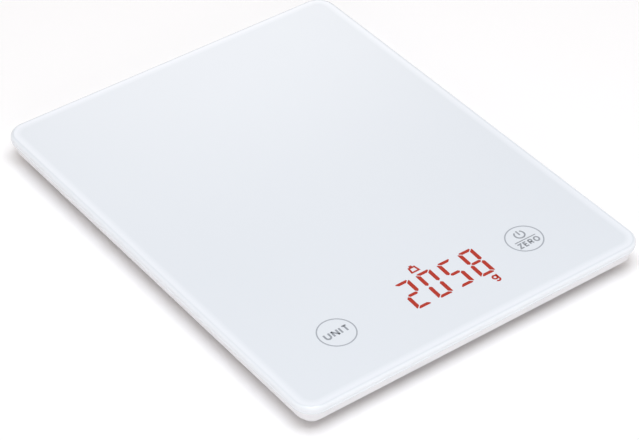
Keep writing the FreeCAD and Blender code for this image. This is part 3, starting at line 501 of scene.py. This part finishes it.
def make_keys():
    """Two ring keys: one legend for the units, one with the on-off sign over the zero legend."""
    unit = np.array(UNIT_KEY.xy) / MM + SEEN_SHIFT_MM
    zero = np.array(ZERO_KEY.xy) / MM + SEEN_SHIFT_MM
    rings = [(circle(key, RING_RADIUS_MM, RING_STEPS), RING_WEIGHT_MM, True) for key in (unit, zero)]
    flat_marks("key_rings", rings, screen_ink("grey_ring_ink", "#A7ACB4"))
    legends = word("UNIT", unit, height=3.9, weight=0.82, width=11.7)
    legends += word("ZERO", zero + ZERO_WORD_PLACE_MM, height=3.25, weight=0.7, width=10.75)
    sign = zero + (0, SIGN_RISE_MM)
    sign_ring = arc(sign, SIGN_RADIUS_MM, 90 + SIGN_GAP_DEG, 450 - SIGN_GAP_DEG, 32)
    legends.append((sign_ring, SIGN_WEIGHT_MM, False))
    legends.append((sign + np.array(STEM_ENDS_MM), SIGN_WEIGHT_MM, False))
    legends.append((zero + np.array(RULE_ENDS_MM), RULE_WEIGHT_MM, False))
    flat_marks("key_legends", legends, screen_ink("grey_legend_ink", "#979CA3"))


DIGIT_PITCH_MM = 10.7
DIGIT_STEP_MM = 0.2
# From the digit's middle to the middle lines of its side bars and of its top bar.
HALF_DIGIT_MM = 2.8
ROW_RISE_MM = 7.75
# A digit leans to the right by this much at its top bar.
LEAN_MM = 0.3
BAR_THICK_MM = 1.8
HALF_GAP_MM = 0.2
# A level bar is thinner than an upright one, by this share.
LEVEL_SHARE = 0.85
# A bar's slanted end passes the top row by this share of the level bar's half thickness.
TIP_SHARE = 1 / 3
# An upright bar ends this many half gaps from the digit's middle.
UPRIGHT_GAPS = 1.6
# Which of the seven bars each lit digit has: top, upper right, lower right, bottom, lower left,
# upper left, middle.
LIT = {"2": "1101101", "0": "1111110", "5": "1011011", "8": "1111111"}
READING = "2058"


def bar_outlines():
    """The seven bars' corners about the digit's middle, in millimetres, in the order of LIT, leaning
    with the digit. Bars are cut back at a slant where they meet, half a gap each, so that the outer
    edges are the longer ones."""
    wide, high, half, gap = HALF_DIGIT_MM, ROW_RISE_MM, BAR_THICK_MM / 2, HALF_GAP_MM
    level = half * LEVEL_SHARE
    tip = level * TIP_SHARE
    top = np.array([
        (-wide + gap - tip, high + tip), (-wide + half + gap, high - level),
        (wide - half - gap, high - level), (wide - gap + tip, high + tip),
        (wide - gap, high + level), (-wide + gap, high + level),
    ])
    middle_bar = np.array([
        (-wide + 2 * gap, 0), (-wide + half + gap, -level), (wide - half - gap, -level),
        (wide - 2 * gap, 0), (wide - half - gap, level), (-wide + half + gap, level),
    ])
    side = np.array([
        (wide, UPRIGHT_GAPS * gap), (wide + half, half + gap), (wide + half, high + tip - gap),
        (wide + half / 2, high + tip - gap), (wide - half, high - half - gap), (wide - half, half + gap),
    ])
    left, down = np.array([-1, 1]), np.array([1, -1])
    bars = [top, side, side * down, top * down, side * down * left, side * left, middle_bar]
    lean = np.array([(1, 0), (LEAN_MM / ROW_RISE_MM, 1)])
    return [bar @ lean for bar in bars]


# The weight sign stands this far above the digits' middle, and the gram sign this far below it.
SIGN_ROW_MM = 12.0
LIT_STROKE_MM = 0.85
# The weight sign: its body's corners, and its knob, which is one short wide stroke.
WEIGHT_BODY_MM = [(-1.75, -1.6), (1.75, -1.6), (1.35, 1.1), (-1.35, 1.1)]
WEIGHT_KNOB_MM = [(-0.7, 1.85), (0.7, 1.85)]
WEIGHT_KNOB_WIDTH_MM = 1.1
WEIGHT_SHIFT_MM = -1.1
# The gram sign: a small g of a bowl and a tail.
GRAM_SHIFT_MM = 0.6
GRAM_BOWL_MM = (-0.1, 0.5)
GRAM_RADIUS_MM = 1.0
GRAM_TAIL_TOP_MM = (1.15, 1.85)
GRAM_TAIL_MM = (0.15, -1.0)


def make_read_out():
    """The lit bars, the weight sign over the second digit and the gram sign below the last."""
    resin = lit_resin()
    centre = np.array(DISPLAY.xy) / MM + SEEN_SHIFT_MM
    digits_x = centre[0] + (np.arange(len(READING)) - (len(READING) - 1) / 2) * DIGIT_PITCH_MM
    bars = bar_outlines()
    outlines = []
    for x, figure in zip(digits_x, READING):
        place = (x + DIGIT_STEP_MM, centre[1])
        outlines += [bar + place for bar, lit in zip(bars, LIT[figure]) if lit == "1"]
    flat_plates("lit_digit_bars", outlines, resin)

    weight = np.array([digits_x[1] + WEIGHT_SHIFT_MM, centre[1] + SIGN_ROW_MM])
    gram = np.array([digits_x[3] + GRAM_SHIFT_MM, centre[1] - SIGN_ROW_MM])
    tail = gram + np.vstack([[GRAM_TAIL_TOP_MM], arc(GRAM_TAIL_MM, GRAM_RADIUS_MM, 0, -150, 14)])
    strokes = [
        (weight + np.array(WEIGHT_BODY_MM), LIT_STROKE_MM, True),
        (weight + np.array(WEIGHT_KNOB_MM), WEIGHT_KNOB_WIDTH_MM, False),
        (circle(gram + GRAM_BOWL_MM, GRAM_RADIUS_MM, 32), LIT_STROKE_MM, True),
        (tail, LIT_STROKE_MM, False),
    ]
    flat_marks("lit_signs", strokes, resin)


make_keys()
make_read_out()


# ---------------------------------------------------------------- CAD nodes get their finishes

def finish_nodes():
    """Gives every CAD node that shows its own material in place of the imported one."""
    white = moulded_abs("satin_white_abs", "#FAFAFD", "#F5F5F9")
    door = moulded_abs("satin_white_abs_door", "#F8F8FB", "#F3F3F7", grain_mm=0.45)
    natural = moulded_abs("natural_nylon", "#E4E1D8", "#D9D6CC", rough=0.5)
    acetal = moulded_abs("white_acetal", "#ECECEC", "#E2E3E4", rough=0.35)
    zinc = plated_steel("bright_zinc_steel", "#C9CCD1")
    nickel = plated_steel("nickel_plated_steel", "#C4C2BC", rough=0.22)
    bronze = plated_steel("phosphor_bronze", "#C99B62", rough=0.28)
    finishes = {
        "carrier_frame": white,
        "bottom_cover": white,
        "battery_door": door,
        "adhesive_frame": plain_finish("acrylic_foam_tape", "#E6E7E9", "#DDDEE0", 1.0, 0.8),
        "control_board": plain_finish("green_solder_mask", "#1E6B3C", "#185A32", 3.0, 0.35),
        "controller_chip": plain_finish("black_mould_epoxy", "#1D1D1F", "#161617", 0.5, 0.6),
        "converter_chip": plain_finish("black_mould_epoxy_small", "#1F1F20", "#171718", 0.5, 0.6),
        "clock_crystal": nickel,
        "board_capacitors": plain_finish("tan_ceramic", "#B08A5E", "#98754D", 0.6, 0.5),
        "board_screws": zinc,
        "bracket_screws": zinc,
        "cover_screws": zinc,
        "display_housing": plain_finish("white_reflector_plastic", "#EFEFEC", "#E6E6E2", 1.5, 0.5),
        "display_lenses": plain_finish("diffused_red_resin", "#C8442F", "#B53A28", 0.8, 0.4),
        "display_leds": plain_finish("led_die_resin", "#E8D99A", "#D8C67E", 0.4, 0.3),
        "display_film": plain_finish("milky_polyester_film", "#E4E8EC", "#DBE0E5", 4.0, 0.4),
        "display_gasket": plain_finish("black_cell_foam", "#232324", "#161617", 0.5, 0.95),
        "touch_spring_unit": nickel,
        "touch_spring_zero": nickel,
        "coin_cell_left": nickel,
        "coin_cell_right": nickel,
        "negative_contact": bronze,
        "positive_contact": bronze,
        "bridge_contact": bronze,
        "negative_lead": plain_finish("black_wire_sleeve", "#19191A", "#101011", 1.0, 0.45),
        "positive_lead": plain_finish("red_wire_sleeve", "#B3221B", "#9C1B15", 1.0, 0.45),
        "solder_joints": plated_steel("tin_solder", "#BFC2C6", rough=0.25),
        "strain_gauges": plain_finish("amber_polyimide_film", "#C07E2C", "#A9691F", 0.4, 0.35),
    }
    rubber = silicone_rubber()
    sleeve = plain_finish("white_wire_sleeve", "#E4E8EC", "#DBE0E5", 4.0, 0.4)
    for corner in ("front_left", "front_right", "rear_left", "rear_right"):
        finishes[f"load_cell_{corner}"] = nickel
        finishes[f"load_cell_bracket_{corner}"] = natural
        finishes[f"foot_cup_{corner}"] = acetal
        finishes[f"foot_pad_{corner}"] = rubber
        finishes[f"load_cell_leads_{corner}"] = sleeve
    for name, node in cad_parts.items():
        if name == "glass_platform":
            continue
        node.data.materials.clear()
        node.data.materials.append(finishes[name])


finish_nodes()


# ---------------------------------------------------------------- floor, light and camera

WORLD_STRENGTH = 0.42
# A pale card high behind the far corner: the glass mirrors it as a soft gradient.
GLOW_STRENGTH = 2.3
GLOW_TOWARDS = (0.47, 0.73, 0.50)
GLOW_OUTER = math.radians(10)
GLOW_INNER = math.radians(1)
FLOOR_REACH = 3.0


def make_stage():
    """A plain pale floor under a pale world. The world is brighter towards the card: the dot product of
    a direction with the card's is the cosine of the angle between them."""
    corners = np.array([(-1, -1, 0), (1, -1, 0), (1, 1, 0), (-1, 1, 0)]) * FLOOR_REACH
    mesh = bpy.data.meshes.new("floor")
    mesh.from_pydata(corners.tolist(), [], [(0, 1, 2, 3)])
    paper, _ = new_material(
        "matt_white_paper",
        {"Base Color": to_linear("#FFFEFE"), "Roughness": 1.0, "Specular IOR Level": 0.0},
    )
    mesh.materials.append(paper)
    floor = bpy.data.objects.new("floor", mesh)
    bpy.context.scene.collection.objects.link(floor)

    world = bpy.data.worlds.new("pale_world")
    world.use_nodes = True
    background = world.node_tree.nodes["Background"]
    background.inputs["Color"].default_value = to_linear("#FFF7F0")
    direction = add_node(world, "ShaderNodeTexCoord").outputs["Generated"]
    towards_card = {"operation": "DOT_PRODUCT", 1: GLOW_TOWARDS}
    cosine = add_node(world, "ShaderNodeVectorMath", towards_card, {0: direction}).outputs["Value"]
    rise = {
        "interpolation_type": "SMOOTHSTEP",
        "From Min": math.cos(GLOW_OUTER),
        "From Max": math.cos(GLOW_INNER),
        "To Min": WORLD_STRENGTH,
        "To Max": GLOW_STRENGTH,
    }
    strength = add_node(world, "ShaderNodeMapRange", rise, {"Value": cosine})
    world.node_tree.links.new(strength.outputs["Result"], background.inputs["Strength"])
    bpy.context.scene.world = world


def add_softbox(name, place, size, watts, code):
    """A rectangular soft light, aimed at the origin; size is its width and height."""
    data = bpy.data.lights.new(name, "AREA")
    data.shape = "RECTANGLE"
    data.size, data.size_y = size
    data.energy = watts
    data.color = to_linear(code)[:3]
    light = bpy.data.objects.new(name, data)
    light.location = place
    light.rotation_euler = (-Vector(place)).to_track_quat("-Z", "Y").to_euler()
    bpy.context.scene.collection.objects.link(light)


bpy.context.scene.view_settings.view_transform = "Standard"
make_stage()
add_softbox("overhead_softbox", place=(-0.11, -0.26, 1.5), size=(1.0, 1.0), watts=16.4, code="#F4F9FF")
add_softbox("front_fill_card", place=(-0.9, -1.3, 0.55), size=(0.8, 0.5), watts=3.0, code="#FFFFFF")

# Camera: a long lens, above the front left corner. It aims at a point on the glass a little before
# and left of the middle, and its horizon tips by about half a degree.
LENS_MM = 146.43
SENSOR_MM = 36
AIM = Vector((*mm(-12.65, -20.27), TOP))
DISTANCE = mm(1062.9)
AZIMUTH = math.radians(-36.065)
ELEVATION = math.radians(39.406)
ROLL = math.radians(-0.564)


def make_camera():
    """Places the camera by azimuth, elevation and distance from what it aims at, then rolls it."""
    data = bpy.data.cameras.new("camera")
    data.lens = LENS_MM
    data.sensor_width = SENSOR_MM
    camera = bpy.data.objects.new("camera", data)
    back = Vector((
        math.sin(AZIMUTH) * math.cos(ELEVATION),
        -math.cos(AZIMUTH) * math.cos(ELEVATION),
        math.sin(ELEVATION),
    ))
    turn = (-back).to_track_quat("-Z", "Y").to_matrix() @ Matrix.Rotation(ROLL, 3, "Z")
    camera.matrix_world = Matrix.Translation(AIM + back * DISTANCE) @ turn.to_4x4()
    bpy.context.scene.collection.objects.link(camera)
    bpy.context.scene.camera = camera


make_camera()

bpy.context.view_layer.update()
